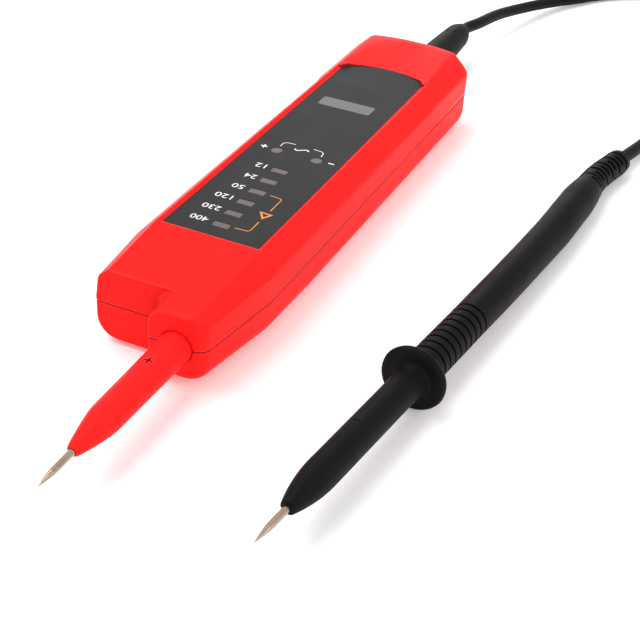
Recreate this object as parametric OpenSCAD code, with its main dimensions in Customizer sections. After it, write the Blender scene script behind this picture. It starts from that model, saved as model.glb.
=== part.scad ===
// Two-pole voltage tester lying on its flat back, with its second probe beside it.
// Millimetres, +Z up. The origin is the centre of the housing's flat back face.
// The probe tips point to -Y, the lead leaves the housing to +Y, and the black probe lies at +X.

/* [Housing] */
// Width of the housing across its side creases
body_w = 44.6; // [43.6:0.2:46]
// Height of the panel's ridges above the flat back
body_h = 27.4; // [26.8:0.1:29]
// Length of the sloping front, ahead of the panel
nose_len = 34.2; // [32:0.2:38]
// Height of the sloping front at its front edge
nose_h = 23.4; // [22.6:0.1:24.6]
// Length from the panel's front edge to the rear face
tail_len = 158.4; // [156:0.2:164]
// Height of the parting plane above the back
split_z = 13; // [12.4:0.1:13.6]
// Wall thickness of both mouldings
wall = 2.2; // [1.8:0.1:2.4]
// Width across the two ridges beside the panel
ridge_w = 33.6; // [33:0.2:34.6]
// Height of the side crease where the shoulder meets the wall
crease_z = 22.3; // [21.6:0.1:23]
// Radius of the long edges of the back
back_r = 6.7; // [5:0.1:7.4]
// Distance from the boss face back to the stepped front face beside it
step_len = 8.5; // [6:0.1:10]
// Radius of the concave fillet between boss and stepped face
step_fillet = 2.4; // [1:0.1:3]
// Place across the width of the boss's left side
boss_side_x = 0.8; // [-0.5:0.1:1.8]
// Radius of the vertical corners at the rear
rear_corner_r = 5.2; // [4:0.1:7]
// How far the rear face bulges in the middle
rear_bulge = 2; // [1:0.1:2.4]
// Height of the rear cap's middle above the ridges
cap_rise = 1.1; // [0.8:0.1:1.4]
// Depth of the dark line round the parting plane
seam_depth = 0.7; // [0.3:0.1:0.9]
// Height of the dark line round the parting plane
seam_gap = 0.35; // [0.2:0.05:0.5]

/* [Panel] */
// Width of the panel overlay
panel_w = 31.1; // [30:0.1:31.6]
// Length of the panel overlay along its middle
panel_len = 129.8; // [128:0.1:131]
// Depth of the panel's face below the ridges
panel_depth = 0.96; // [0.7:0.02:1.1]
// Thickness of the panel overlay
overlay_t = 0.3; // [0.2:0.05:0.5]
// Number of bar windows
bar_count = 6; // [4:1:6]
// Spacing of the bar windows
bar_pitch = 7.41; // [6.5:0.01:7.6]
// Distance from the panel's front edge to the first bar window
bar_first = 7.05; // [6:0.05:8]
// Length of a bar window across the panel
bar_l = 5.4; // [4.5:0.1:6]
// Width of a bar window along the panel
bar_w = 2.8; // [2:0.1:3]
// Radius of the two round windows
dot_r = 1.87; // [1.5:0.01:2.2]
// Spacing between the two round windows
dot_pitch = 13.8; // [11:0.1:15]
// Distance from the panel's front edge to the round windows
dot_y = 55.95; // [53:0.05:60]
// Radius of the thumb dish behind the panel
dish_r = 110; // [90:5:140]
// Rise of the thumb dish towards the rear, in degrees
dish_tilt = 5.2; // [4.6:0.1:6]

/* [Red probe] */
// Place of the red probe's axis across the width
barrel_x = 9.4; // [8.6:0.1:10]
// Radius of the red barrel where it leaves the housing
barrel_r = 4.87; // [4.5:0.01:5.2]
// Length of the red barrel outside the housing
barrel_len = 49.5; // [45:0.5:55]
// Radius of the red barrel where its nose begins
barrel_waist_r = 4.48; // [4.1:0.01:4.48]
// Length of the rounded nose of both barrels
nose_taper = 14.8; // [12:0.1:18]
// Radius of both probe tips
tip_r = 1; // [0.8:0.05:1.2]
// Length of the bare tip of both probes
tip_len = 14.5; // [10:0.5:19]
// Length of the point of both tips
point_len = 6.5; // [4:0.5:8]

/* [Black probe] */
// Radius of the finger guard
guard_r = 9.65; // [8.8:0.05:9.9]
// Thickness of the finger guard
guard_t = 2.65; // [2:0.05:3.2]
// Length from the guard to the end of the black barrel
black_barrel_len = 64; // [58:0.5:68]
// Radius of the black barrel where its nose begins
black_barrel_r = 4.55; // [4.2:0.05:4.9]
// Number of grip rings behind the guard
ring_count = 9; // [7:1:9]
// Spacing of the grip rings
ring_pitch = 3.26; // [3.1:0.02:3.4]
// Radius of the grip rings
ring_r = 5.5; // [5.3:0.05:5.7]
// Depth of the grooves between the grip rings
ring_depth = 0.9; // [0.5:0.05:1]
// Width of the grooves between the grip rings
groove_w = 0.9; // [0.6:0.1:1.2]
// Radius of the handle where it is thickest
handle_r = 5.9; // [5.5:0.05:6.2]
// Number of slotted levels in the strain relief
slot_count = 10; // [8:1:10]
// Spacing of the slotted levels
slot_pitch = 2.61; // [2.4:0.03:2.64]
// Width of a strain relief slot
slot_w = 1.2; // [0.8:0.1:1.3]

/* [Lead] */
// Diameter of the lead
lead_d = 4.5; // [4:0.1:4.8]
// Length of the boot outside the rear face
boot_len = 51; // [45:0.2:52]
// Radius of the boot at the rear face
boot_r = 6.4; // [6:0.1:7]
// Radius of the boot near its end
boot_end_r = 5; // [4.6:0.1:5.6]
// Radius of the coil's middle turn
coil_r = 25; // [24:0.5:26]

/* [Inside] */
// Thickness of the circuit board
board_t = 1.6; // [1:0.1:2]
// Height of the board's underside above the parting plane
board_lift = 1.5; // [1:0.1:2]
// Length of the circuit board
board_len = 122; // [118:0.5:124]
// Width of the circuit board
board_w = 37.4; // [35:0.2:38]
// Distance of the housing screws from the middle line
screw_x = 14.8; // [14:0.1:15]
// Radius of a housing screw's shank
screw_r = 1.3; // [1:0.05:1.45]
// Radius of a housing screw's head
head_r = 2.6; // [2.2:0.1:2.8]
// Depth of the screw head's seat below the back face
seat_depth = 5; // [4:0.1:6]

/* [Hidden] */

$fn = 48;
eps = 0.01;
big = 60;

red = [0.98, 0.18, 0.17];
black = [0.13, 0.13, 0.13];
panel_grey = [0.31, 0.31, 0.32];
window_grey = [0.5, 0.44, 0.44];
steel = [0.72, 0.68, 0.62];

// Lengthwise places are counted from the panel's front edge; the whole part is then
// shifted so that the middle of the housing's length is the origin.
mid_y = (tail_len - nose_len) / 2;

// Half widths and drafts of the housing
half_w = body_w / 2;
half_ridge = ridge_w / 2;
side_draft = 0.35;
side_x = half_w - side_draft;
kink_y = -3;
taper_right = 0.13;
taper_left = 0.035;
crease_left = 0.09;
ridge_taper = 1.8;
crease_drop = 0.5;
crease_soft = 1.6;
ridge_soft = 0.5;
front_round = 3;
front_lift = 2.4;
nose_lift = 0.85;
nose_rise = 1.15;
flat_y = 24;
front_top_round = 0.7;
valley_y = 124;
valley_slant = 8;
valley_drop = 0.7;
riser_len = 3;
riser_in = 0.3;
riser_rise = 0.12;
boss_round_x = 6.2;
boss_round_z = 5.2;
step_over = 0.05;
step_foot_r = 2.5;
cap_y = 148;
cap_ridge = 0.8;
cap_top_r = 5;
cap_back_r = 4;
cap_shrink = 5.6;
cap_crown = 0.5;
cap_puff = 0.6;
cap_crease_r = rear_corner_r + 0.35;
cap_wall_r = rear_corner_r - 1.2;
rear_fan = 0.6;

// Panel recess
panel_edge = 0.9;
panel_z = body_h - panel_depth;
floor_z = panel_z - overlay_t;
recess_draft = 1.25;
corner_y = 123.3;
corner_in = 0.25;
chamfer_y = 126.4;
chamfer_in = 2.55;
dish_lead = 3.6;

// Cavity
roof_z = floor_z - wall;
cavity_x = side_x - wall;
cavity_foot = 5;
cavity_front = -20;
cavity_front_x = 15;
cavity_rear = 119;
cavity_tail = 144;
cavity_tail_x = 15.6;
bar_y = [for (i = [0 : bar_count - 1]) panel_edge + bar_first + i * bar_pitch];
dot_line = panel_edge + dot_y;

// Board and screws
board_z = split_z + board_lift;
board_top = board_z + board_t;
board_front = -8;
board_end = board_front + board_len;
screw_y = [22, board_end - 10];
post_r = head_r + 1.7;
upper_post_r = 3;
screw_fit = 0.02;
screw_hole_r = screw_r + 0.3;
head_hole_r = head_r + 0.3;
head_t = 1.9;
screw_tip_z = board_top + 5.5;

// Light guides and lamps
guide_fit = 0.04;
guide_top = panel_z - 0.12;
guide_foot = board_top + 2.1;
flange_t = 1;
flange_w = 0.8;
led_l = 3.2;
led_w = 1.6;
led_base = 0.6;
led_lens_r = 0.7;
led_lens_h = 0.9;

// Parts soldered to the board
part_lift = 0.15;
resistor_y = [64, 69, 74, 79];
resistor_x = -9;
diode_y = [64, 68.5, 73, 77.5];
diode_x = 9;
capacitor_at = [9, 88];
capacitor_r = 3.15;
capacitor_h = 6.4;
chip_at = [-8, 90];
chip_l = 8.7;
chip_w = 3.9;
chip_h = 1.5;
chip_pins = 7;
pin_pitch = 1.2;
pin_w = 0.4;
transistor_x = -6;
transistor_y = [board_end - 14, board_end - 9, board_end - 4];
transistor_l = 2.9;
transistor_w = 1.3;
terminal_r = 0.9;
terminal_h = 2.8;
wire_r = 0.8;
tip_terminal_y = board_front + 4;
lead_terminal_y = board_end - 5;
board_corner = 3;
board_neck = 5;

// Tongue on the lower rim and its rebate in the upper one
tongue_w = 1;
tongue_h = 1;
tongue_fit = 0.1;
tongue_y = [4, 112];

// Barrel and its collar
barrel_fit = 0.15;
collar_r = barrel_r + 1.5;
collar_t = 2.5;
collar_y = -28;
collar_fit = 0.1;
barrel_tail_y = -17;
tip_fit = 0.02;
tip_tail_y = -15;
tip_collar_r = 1.7;
nose_edge = 0.35;
seal_y = -31;
seal_t = 1.4;
seal_fit = 0.02;

// Boot
boot_wall_y = tail_len - 4.6;
boot_collar_r = boot_r + 1.6;
boot_collar_t = 2.4;
boot_tail_y = boot_wall_y - boot_collar_t - 2.5;
boot_fit = 0.1;
boot_end_y = tail_len + boot_len;
lead_r = lead_d / 2;
lead_sink = 6;

// Place and lie of the black probe: centre of the guard, turn and dip of its axis
guard_at = [69.37, -11.78, guard_r];
probe_yaw = 5.31;
handle_rest = 122;
relief_rest = 160;
relief_rest_r = 4.6;
probe_dip = asin(min((guard_r - handle_r) / handle_rest, (guard_r - relief_rest_r) / relief_rest));
groove_first = 8;
grip_end = groove_first + (ring_count - 1) * ring_pitch + groove_w / 2;
grip_core = 6;
black_nose_r = 2.1;
black_nose_edge = 0.12;
tip_socket = 20;
relief_start = 133.5;
slot_first = 132.6;
slot_core_r = 2.95;
slot_turn = -70;
long_slot = 70;
short_slot = 28;
probe_end = 160.5;
lead_socket = 6;
socket_fit = 0.05;
socket_turn = 5;

// Lead: routes in the part's own frame, and the coil's place
lead_route = [[0, 142, 13], [0.6, 150, 13], [2.5, 159, 12.2], [4.7, 178, 9.8], [9.5, 198, 6.8],
              [15.5, 215.5, 4.3], [23.5, 230, 2.8], [33, 243, 2.3], [46, 253, 2.3],
              [60, 256.5, 2.3], [72, 255.3, 2.3]];
return_route = [[115.2, 211.8, 2.3], [114.5, 200, 2.3], [110, 183, 2.3], [102, 160, 2.3],
                [94, 138, 2.3], [88.5, 118, 2.3], [86, 105, 2.95], [84.35, 94.5, 4.05],
                [82.8, 86, 4.72], [81.72, 80.07, 4.9]];
coil_at = [88, 228];
coil_turns_w = 2;
lead_sides = 10;
lead_steps = 2;

// Functions for curves and lofted sections

function unit(v) = v / norm(v);
function clamp01(t) = min(1, max(0, t));
function arc(c, r, a0, a1, n) =
    [for (i = [0 : n]) let (a = a0 + (a1 - a0) * i / n) [c[0] + r * cos(a), c[1] + r * sin(a)]];
function bend(a, b, c, n) =
    [for (i = [0 : n]) let (t = i / n) (1 - t) * (1 - t) * a + 2 * t * (1 - t) * b + t * t * c];

// One half of the cross-section, from the back's edge round the wall, crease and ridge
function half_section(hw, w, xr, zc, zt, zb, puff, crown) =
    let (s = unit([xr - hw, zt - zc]),
         a = [hw, zc] + crease_soft * s,
         b = [xr, zt] - ridge_soft * s,
         r = back_r)
    concat(arc([w - r, zb + r], r, -90, 0, 6),
           [[w, max(split_z, zb + r + eps)]],
           bend([hw + (w - hw) * 0.2, zc - crease_soft], [hw, zc], a, 4),
           [for (t = [0.25, 0.5, 0.75]) a + (b - a) * t + [-s[1], s[0]] * -puff * 4 * t * (1 - t)],
           bend(b, [xr, zt], [xr - ridge_soft, zt], 2),
           [for (t = [0.75, 0.5, 0.25]) [xr * t, zt + crown * (1 - t * t)]]);

// A closed ring of points: the left and right half-widths at crease, wall and ridge may
// differ, the ridge part may lag behind the sides by a slant, the middle may bulge to the
// rear, the shoulders may be puffed out and the top crowned
function ring(y, hl, wl, xl, hr, wr, xr, zc, zt, zb, slant = 0, bulge = 0, puff = 0, crown = 0) =
    let (r = half_section(hr, wr, xr, zc, zt, zb, puff, crown),
         l = half_section(hl, wl, xl, zc, zt, zb, puff, crown),
         n = len(l) - 1)
    concat([for (p = r) [p[0], lag(y, p[0], hr, wr, xr, slant, bulge), p[1]]],
           [for (i = [n : -1 : 0]) [-l[i][0], lag(y, l[i][0], hl, wl, xl, slant, bulge), l[i][1]]]);
function lag(y, x, hw, w, xr, slant, bulge) =
    y - slant * clamp01((x - xr) / (hw - xr)) - bulge * pow(x / max(hw, w), 2);

// Solid through a list of rings, closed at both ends by a fan to a middle point
module loft(rings, first, last) {
    n = len(rings[0]);
    m = len(rings);
    points = concat([for (r = rings) each r], [first, last]);
    polyhedron(points, concat(
        [for (j = [0 : n - 1]) [(j + 1) % n, j, n * m]],
        [for (j = [0 : n - 1]) [(m - 1) * n + j, (m - 1) * n + (j + 1) % n, n * m + 1]],
        [for (i = [0 : m - 2]) for (j = [0 : n - 1])
            [(i + 1) * n + j, i * n + j, i * n + (j + 1) % n]],
        [for (i = [0 : m - 2]) for (j = [0 : n - 1])
            [(i + 1) * n + j, i * n + (j + 1) % n, (i + 1) * n + (j + 1) % n]]),
        convexity = 6);
}

function middle(r, y) = let (n = len(r)) [0, y, (r[0][2] + r[n / 2][2]) / 2];

// Ring of the sloping front at a place ahead of the panel, with its edge rounding (0 to 1)
function nose_ring(y, rd) =
    let (k = -y / nose_len,
         run = max(0, kink_y - y),
         in = front_round * rd)
    ring(y,
         half_w - crease_left * run - in, side_x - taper_left * run - in, half_ridge - in,
         half_w - taper_right * run - in, side_x - taper_right * run - in,
         half_ridge - ridge_taper * k - in,
         crease_z - crease_drop * k, body_h - (body_h - nose_h) * k - front_top_round * rd,
         nose_lift + nose_rise * k + front_lift * rd);

// Ring of the rear cap with its corner rounding (0 to 1)
function cap_ring(y, rd) =
    let (h = half_w - cap_crease_r * rd,
         w = side_x - cap_wall_r * rd,
         x = half_ridge - cap_ridge - cap_shrink * rd)
    ring(y, h, w, x, h, w, x,
         crease_z - cap_top_r * rd * 0.7, body_h + cap_rise - cap_crown - cap_top_r * rd, cap_back_r * rd,
         0, rear_bulge, cap_puff * sqrt(rd), cap_crown);

module whole_body() {
    front = [for (a = [90, 60, 30, 0])
        nose_ring(-nose_len + front_round * (1 - sin(a)), 1 - cos(a))];
    x = half_ridge;
    cap_x = half_ridge - riser_in;
    straight = [
        nose_ring(kink_y, 0),
        nose_ring(0, 0),
        ring(flat_y, half_w, side_x, x, half_w, side_x, x, crease_z, body_h, 0),
        ring(valley_y, half_w, side_x, x, half_w, side_x, x,
             crease_z - valley_drop, body_h, 0, valley_slant),
        ring(valley_y + riser_len, half_w, side_x, cap_x, half_w, side_x, cap_x,
             crease_z, body_h + riser_rise, 0, valley_slant)];
    rear = [for (a = [0 : 18 : 90])
        cap_ring(tail_len - rear_corner_r * (1 - sin(a)), 1 - cos(a))];
    rings = concat(front, straight, [cap_ring(cap_y, 0)], rear);
    last = rear[len(rear) - 1];
    c = middle(last, tail_len);
    span = side_x - cap_wall_r;
    tail = [for (p = last) let (x = p[0] * rear_fan)
        [x, tail_len - rear_bulge * pow(x / span, 2), c[2] + (p[2] - c[2]) * rear_fan]];
    loft(concat(rings, [tail]), middle(front[0], -nose_len), c);
}

// Space in front of the stepped face: it follows the boss's rounded side and ends in the fillet
function step_ring(y, shift) =
    let (top = body_h - (body_h - nose_h) * -y / nose_len + step_over,
         x = boss_side_x - shift)
    [for (p = concat([[-big, -big], [x, -big]],
                     [for (t = [180 : -15 : 90])
                         [x + boss_round_x * (1 + cos(t)), top + boss_round_z * (sin(t) - 1)]],
                     [[x + boss_round_x, big], [-big, big]])) [p[0], y, p[1]]];

module step_space() {
    y0 = -nose_len + step_len;
    y1 = -nose_len - 5;
    rings = concat([step_ring(y1, 0)],
                   [for (a = [0 : 30 : 90])
                       step_ring(y0 - step_fillet * (1 - sin(a)), step_fillet * (1 - cos(a)))]);
    loft(rings, [-big / 2, y1, big / 2], [-big / 2, y0, big / 2]);
    // rounded lower edge of the stepped face
    r = step_foot_r;
    translate([-big, y0, 0])
        rotate([90, 0, 90])
        linear_extrude(big + boss_side_x - step_fillet)
            polygon(concat([[-5, -5], [r, -5]], arc([r, r], r, 270, 180, 4), [[-5, r]]));
}

// Outline of the panel at its face, grown by a margin
function panel_outline(m) =
    let (w = panel_w / 2 + m,
         y1 = panel_edge + corner_y,
         y2 = panel_edge + chamfer_y,
         y3 = panel_edge + panel_len + m,
         x2 = w - chamfer_in)
    concat([[-w, panel_edge - m], [w, panel_edge - m], [w - corner_in, y1]],
           [for (i = [0 : 12]) let (x = x2 * (1 - i / 6)) [x, y3 - (y3 - y2) * pow(x / x2, 2)]],
           [[-w + corner_in, y1]]);

module panel_recess() {
    w = panel_w / 2;
    d = recess_draft;
    k = 1.2;
    z1 = panel_z + k * panel_depth;
    translate([0, 0, floor_z])
        linear_extrude(big)
            polygon(panel_outline(0.05));
    // sloping walls beside and ahead of the panel
    low = [[-w, panel_edge, panel_z], [w, panel_edge, panel_z],
           [w, valley_y, panel_z], [-w, valley_y, panel_z]];
    high = [[-w - k * d, panel_edge - k, z1], [w + k * d, panel_edge - k, z1],
            [w + k * d, valley_y, z1], [-w - k * d, valley_y, z1]];
    polyhedron(concat(low, high),
               [[0, 1, 2, 3], [7, 6, 5, 4], [0, 4, 5, 1], [1, 5, 6, 2], [2, 6, 7, 3], [3, 7, 4, 0]]);
}

// Shallow trough that rises from the panel's end to the rear, kept clear of the overlay
module thumb_dish() {
    difference() {
        translate([0, panel_edge + panel_len, panel_z])
            rotate([dish_tilt - 90, 0, 0])
            translate([0, -dish_r, -dish_lead])
            cylinder(r = dish_r, h = big, $fn = 96);
        translate([0, 0, body_h - big])
            linear_extrude(2 * big)
                polygon(panel_outline(0.02));
    }
}

// Axis of a turned piece that runs towards +Y
module along_y(x, y, z) {
    translate([x, y, z])
        rotate([-90, 0, 0])
        children();
}

module placed() {
    translate([0, -mid_y, 0]) children();
}

// Housing

module cavity_upper() {
    x1 = half_ridge - wall;
    z0 = split_z - eps;
    z1 = crease_z - wall + 0.6;
    profile = [[-cavity_x, z0], [cavity_x, z0], [cavity_x, z1],
               [x1, roof_z], [-x1, roof_z], [-cavity_x, z1]];
    translate([0, cavity_rear, 0])
        rotate([90, 0, 0])
        linear_extrude(cavity_rear)
            polygon(profile);
    translate([-cavity_front_x, cavity_front, split_z - eps])
        cube([cavity_front_x * 2, -cavity_front + eps, nose_h - wall - split_z - 1]);
    translate([-cavity_tail_x, cavity_rear - eps, split_z - eps])
        cube([cavity_tail_x * 2, cavity_tail - cavity_rear, crease_z - split_z]);
}

module cavity_lower() {
    f = cavity_foot;
    profile = [[-cavity_x, split_z + eps], [-cavity_x, wall + f], [f - cavity_x, wall],
               [cavity_x - f, wall], [cavity_x, wall + f], [cavity_x, split_z + eps]];
    translate([0, cavity_rear, 0])
        rotate([90, 0, 0])
        linear_extrude(cavity_rear)
            polygon(profile);
    translate([-cavity_front_x, cavity_front, nose_lift + nose_rise + wall])
        cube([cavity_front_x * 2, -cavity_front + eps, split_z]);
    translate([-cavity_tail_x, cavity_rear - eps, wall + 1.5])
        cube([cavity_tail_x * 2, cavity_tail - cavity_rear, split_z]);
}

// Seats of the red barrel and of the boot, shared by both halves
module shell_bores() {
    along_y(barrel_x, -nose_len - 1, split_z)
        cylinder(r = barrel_r + barrel_fit, h = nose_len + 1 + cavity_front + eps);
    along_y(barrel_x, collar_y - collar_fit, split_z)
        cylinder(r = collar_r + collar_fit, h = collar_t + 2 * collar_fit);
    along_y(0, boot_wall_y - 1, split_z)
        cylinder(r = boot_r + boot_fit, h = big);
    along_y(0, cavity_tail - eps, split_z)
        cylinder(r = boot_collar_r + boot_fit, h = boot_wall_y - cavity_tail + eps);
}

module seam_line() {
    d = seam_depth;
    y1 = -nose_len + step_len;
    front_x = half_w - taper_right * (nose_len + kink_y) - side_draft;
    rear_y = tail_len - rear_bulge;
    rear_x = side_x - cap_wall_r;
    corner = [for (a = [0 : 15 : 90])
        [side_x - cap_wall_r * (1 - cos(a)) - d * cos(a),
         rear_y - rear_corner_r * (1 - sin(a)) - d * sin(a)]];
    face = [for (t = [0.75 : -0.25 : 0]) [rear_x * t, tail_len - rear_bulge * t * t - d]];
    translate([0, 0, split_z - eps])
        linear_extrude(seam_gap + eps)
            difference() {
                translate([-big, -big])
                    square([2 * big, 2 * big + tail_len]);
                polygon(concat(
                    [[boss_side_x + d, -nose_len + d], [front_x - front_round * 0.4 - d, -nose_len + d],
                     [front_x - d, -nose_len + front_round], [side_x - d, kink_y]],
                    corner, face,
                    [for (i = [len(face) - 2 : -1 : 0]) [-face[i][0], face[i][1]]],
                    [for (i = [len(corner) - 1 : -1 : 0]) [-corner[i][0], corner[i][1]]],
                    [[-side_x + d, kink_y],
                     [-side_x + d + taper_left * (nose_len - step_len + kink_y), y1 + d],
                     [boss_side_x - step_fillet + d, y1 + d],
                     [boss_side_x + d, y1 - step_fillet + d]]));
            }
}

module screw_places() {
    for (sx = [-1, 1])
        for (y = screw_y)
            translate([sx * screw_x, y, 0]) children();
}

module tongues(w, z, h) {
    for (sx = [-1, 1])
        translate([sx > 0 ? cavity_x : -cavity_x - w, tongue_y[0], z])
            cube([w, tongue_y[1] - tongue_y[0], h]);
}

module upper_shell() {
    color(red)
    placed()
    difference() {
        union() {
            difference() {
                whole_body();
                translate([-big, -big, -big])
                    cube([2 * big, 2 * big + tail_len, big + split_z]);
                step_space();
                panel_recess();
                thumb_dish();
                cavity_upper();
                shell_bores();
                seam_line();
                tongues(tongue_w + tongue_fit, split_z - eps, tongue_h + tongue_fit + eps);
            }
            screw_places()
                translate([0, 0, board_top])
                cylinder(r = upper_post_r, h = crease_z - board_top + 0.8);
        }
        screw_places()
            translate([0, 0, board_top - eps])
            cylinder(r = screw_r + screw_fit, h = screw_tip_z - board_top + 0.3, $fn = 32);
        for (y = bar_y)
            translate([-bar_l / 2, y - bar_w / 2, roof_z - eps])
                cube([bar_l, bar_w, overlay_t + wall + 1]);
        for (sx = [-1, 1])
            translate([sx * dot_pitch / 2, dot_line, roof_z - eps])
                cylinder(r = dot_r, h = wall + 1);
    }
}

module lower_shell() {
    color(red)
    placed()
    difference() {
        union() {
            difference() {
                whole_body();
                translate([-big, -big, split_z])
                    cube([2 * big, 2 * big + tail_len, big]);
                step_space();
                cavity_lower();
                shell_bores();
            }
            tongues(tongue_w, split_z - eps, tongue_h + eps);
            screw_places()
                translate([0, 0, wall - eps])
                cylinder(r = post_r, h = board_z - wall + eps);
        }
        screw_places() {
            translate([0, 0, -eps])
                cylinder(r = screw_hole_r, h = big, $fn = 32);
            translate([0, 0, -eps])
                cylinder(r = head_hole_r, h = seat_depth + eps, $fn = 32);
        }
    }
}

// Panel, windows and lamps

module front_panel() {
    color(panel_grey)
    placed()
    difference() {
        translate([0, 0, floor_z])
            linear_extrude(overlay_t)
                polygon(panel_outline(0));
        for (y = bar_y)
            translate([-bar_l / 2, y - bar_w / 2, floor_z - 1])
                cube([bar_l, bar_w, 3]);
        for (sx = [-1, 1])
            translate([sx * dot_pitch / 2, dot_line, floor_z - 1])
                cylinder(r = dot_r, h = 3);
    }
}

module bar_light_guides() {
    l = bar_l - 2 * guide_fit;
    w = bar_w - 2 * guide_fit;
    color(window_grey)
    placed()
    for (y = bar_y) {
        translate([-l / 2, y - w / 2, guide_foot])
            cube([l, w, guide_top - guide_foot]);
        translate([-l / 2 - flange_w, y - w / 2 - flange_w, roof_z - flange_t])
            cube([l + 2 * flange_w, w + 2 * flange_w, flange_t]);
    }
}

module dot_light_guides() {
    r = dot_r - guide_fit;
    color(window_grey)
    placed()
    for (sx = [-1, 1])
        translate([sx * dot_pitch / 2, dot_line, 0]) {
            translate([0, 0, guide_foot]) cylinder(r = r, h = guide_top - guide_foot);
            translate([0, 0, roof_z - flange_t]) cylinder(r = r + flange_w, h = flange_t);
        }
}

module surface_led(tint) {
    color(tint) {
        translate([-led_l / 2, -led_w / 2, 0])
            cube([led_l, led_w, led_base]);
        translate([0, 0, led_base])
            cylinder(r1 = led_lens_r, r2 = led_lens_r * 0.85, h = led_lens_h, $fn = 24);
    }
}

module bar_leds() {
    placed()
    for (y = bar_y)
        translate([0, y, board_top]) surface_led([0.9, 0.85, 0.75]);
}

module dot_leds() {
    placed()
    for (sx = [-1, 1])
        translate([sx * dot_pitch / 2, dot_line, board_top]) surface_led([0.85, 0.9, 0.85]);
}

// Circuit board and what is soldered to it

module circuit_board() {
    n = board_neck;
    c = board_corner;
    y = 1 - board_front;
    color([0.1, 0.35, 0.2])
    placed()
    difference() {
        translate([-board_w / 2, board_front, board_z])
            linear_extrude(board_t)
                polygon([[n, 0], [board_w - n, 0], [board_w - n, y], [board_w, y],
                         [board_w, board_len - c], [board_w - c, board_len],
                         [c, board_len], [0, board_len - c], [0, y], [n, y]]);
        screw_places()
            translate([0, 0, board_z - 1])
            cylinder(r = screw_hole_r, h = board_t + 2, $fn = 32);
    }
}

// Axial part lying across the board on two bent wires
module axial(body_r, body_l, span, wire_r) {
    z = body_r + 0.3;
    translate([-body_l / 2, 0, z])
        rotate([0, 90, 0])
        cylinder(r = body_r, h = body_l, $fn = 32);
    translate([-span / 2 - wire_r, 0, z])
        rotate([0, 90, 0])
        cylinder(r = wire_r, h = span + 2 * wire_r, $fn = 16);
    for (sx = [-1, 1])
        translate([sx * span / 2, 0, 0])
            cylinder(r = wire_r, h = z, $fn = 16);
}

module input_resistors() {
    color([0.75, 0.65, 0.45])
    placed()
    for (y = resistor_y)
        translate([resistor_x, y, board_top])
        axial(1.2, 6.4, 10, 0.3);
}

module rectifier_diodes() {
    color(black)
    placed()
    for (y = diode_y)
        translate([diode_x, y, board_top])
        axial(1.3, 4.6, 9, 0.35);
}

module filter_capacitor() {
    r = capacitor_r;
    h = capacitor_h;
    color([0.15, 0.2, 0.45])
    placed()
    translate([capacitor_at[0], capacitor_at[1], board_top])
        rotate_extrude()
            polygon([[0, 0], [r - 0.15, 0], [r, 0.3], [r, 1], [r - 0.2, 1.3], [r, 1.6],
                     [r, h - 0.3], [r - 0.35, h], [0, h]]);
}

module gull_leg(w) {
    translate([0, w / 2, 0])
        rotate([90, 0, 0])
        linear_extrude(w)
            polygon([[-0.3, 0.75], [0.35, 0.75], [0.5, 0.25], [1.1, 0.25],
                     [1.1, 0], [0.35, 0], [0.2, 0.5], [-0.3, 0.5]]);
}

module control_chip() {
    color(black)
    placed()
    translate([chip_at[0], chip_at[1], board_top]) {
        translate([-chip_w / 2, -chip_l / 2, part_lift])
            cube([chip_w, chip_l, chip_h]);
        for (a = [0, 180])
            for (i = [0 : chip_pins - 1])
                rotate([0, 0, a])
                translate([chip_w / 2, (i - (chip_pins - 1) / 2) * pin_pitch, 0])
                gull_leg(pin_w);
    }
}

module driver_transistors() {
    l = transistor_l;
    w = transistor_w;
    color(black)
    placed()
    for (y = transistor_y)
        translate([transistor_x, y, board_top]) {
            translate([-w / 2, -l / 2, part_lift])
                cube([w, l, 1]);
            for (p = [[0, -l / 3], [0, l / 3], [180, 0]])
                rotate([0, 0, p[0]])
                translate([w / 2, p[1], 0])
                gull_leg(pin_w);
        }
}

module wire_terminals() {
    color([0.8, 0.65, 0.3])
    placed()
    for (p = [[barrel_x, tip_terminal_y], [0, lead_terminal_y]])
        translate([p[0], p[1], board_top]) {
            cylinder(r = terminal_r * 1.4, h = 0.5, $fn = 32);
            cylinder(r = terminal_r, h = terminal_h, $fn = 32);
        }
}

module housing_screws() {
    color([0.45, 0.45, 0.47])
    placed()
    screw_places()
        translate([0, 0, seat_depth])
        difference() {
            union() {
                translate([0, 0, -head_t / 3])
                    cylinder(r = screw_r, h = screw_tip_z - seat_depth + head_t / 3, $fn = 32);
                translate([0, 0, -head_t])
                    rotate_extrude($fn = 40)
                        polygon([[0, 0], [head_r * 0.6, 0], [head_r * 0.86, 0.25],
                                 [head_r, 0.8], [head_r, head_t], [0, head_t]]);
            }
            for (a = [0, 90])
                rotate([0, 0, a])
                translate([-1.6, -0.35, -head_t - eps])
                cube([3.2, 0.7, 1.1]);
        }
}

// Red probe

// Radius of a rounded nose at a share of its length, from the shoulder to the end
function nose_radius(t, r0, r1, e) = r1 + (r0 - r1) * (1 - pow(t, e));

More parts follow.
